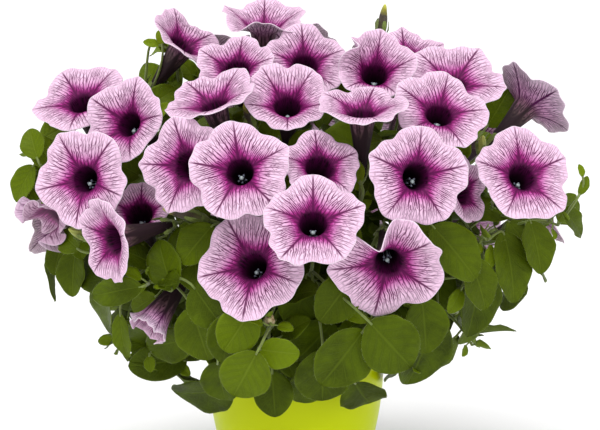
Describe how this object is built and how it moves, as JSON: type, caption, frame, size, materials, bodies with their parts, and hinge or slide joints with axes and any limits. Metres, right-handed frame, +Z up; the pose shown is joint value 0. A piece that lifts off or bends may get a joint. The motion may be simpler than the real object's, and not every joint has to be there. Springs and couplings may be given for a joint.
{
  "type": "potted petunia",
  "caption": "Bushy trailing petunia with ruffled trumpet blooms and soft ovate leaves, growing over the rim of a round tapered pot that stands on its flat base.",
  "frame": {"origin": "centre of the pot's flat underside", "axes": "+Z up, -Y towards the front as pictured, +X to the right of that view"},
  "size_m": [0.3882, 0.373, 0.357],
  "materials": {
    "pot": "smooth satin lime-green plastic",
    "soil": "moist dark peat with bark crumbs",
    "foliage": "soft green leaf, hairy and a little sticky",
    "petals": "velvety pale lilac-pink with dark purple veins and throat"
  },
  "bodies": {
    "root": {"pot": "pot", "soil": "soil", "leafy_stem_01": "foliage", "leafy_stem_02": "foliage", "leafy_stem_03": "foliage", "leafy_stem_04": "foliage", "leafy_stem_05": "foliage", "leafy_stem_06": "foliage", "leafy_stem_07": "foliage", "leafy_stem_08": "foliage", "leafy_stem_09": "foliage", "leafy_stem_10": "foliage", "leafy_stem_11": "foliage", "leafy_stem_12": "foliage", "bloom_01": "petals", "bloom_02": "petals", "bloom_03": "petals", "bloom_04": "petals", "bloom_05": "petals", "bloom_06": "petals", "bloom_07": "petals", "bloom_08": "petals", "bloom_09": "petals", "bloom_10": "petals", "bloom_11": "petals", "bloom_12": "petals", "bloom_13": "petals", "bloom_14": "petals", "bloom_15": "petals", "bloom_16": "petals", "bloom_17": "petals", "bloom_18": "petals", "bloom_19": "petals", "bloom_20": "petals", "bloom_21": "petals", "bloom_22": "petals", "bloom_23": "petals", "bloom_24": "petals", "bloom_25": "petals", "bloom_26": "petals", "bloom_27": "petals", "bloom_28": "petals", "bloom_29": "petals", "bloom_30": "petals", "bloom_31": "petals", "bloom_32": "petals", "bloom_33": "petals", "bloom_34": "petals", "bloom_35": "petals", "bloom_36": "petals", "bloom_37": "petals", "bloom_38": "petals", "bloom_39": "petals", "bloom_40": "petals", "bloom_41": "petals", "bloom_42": "petals"}
  },
  "joints": []
}
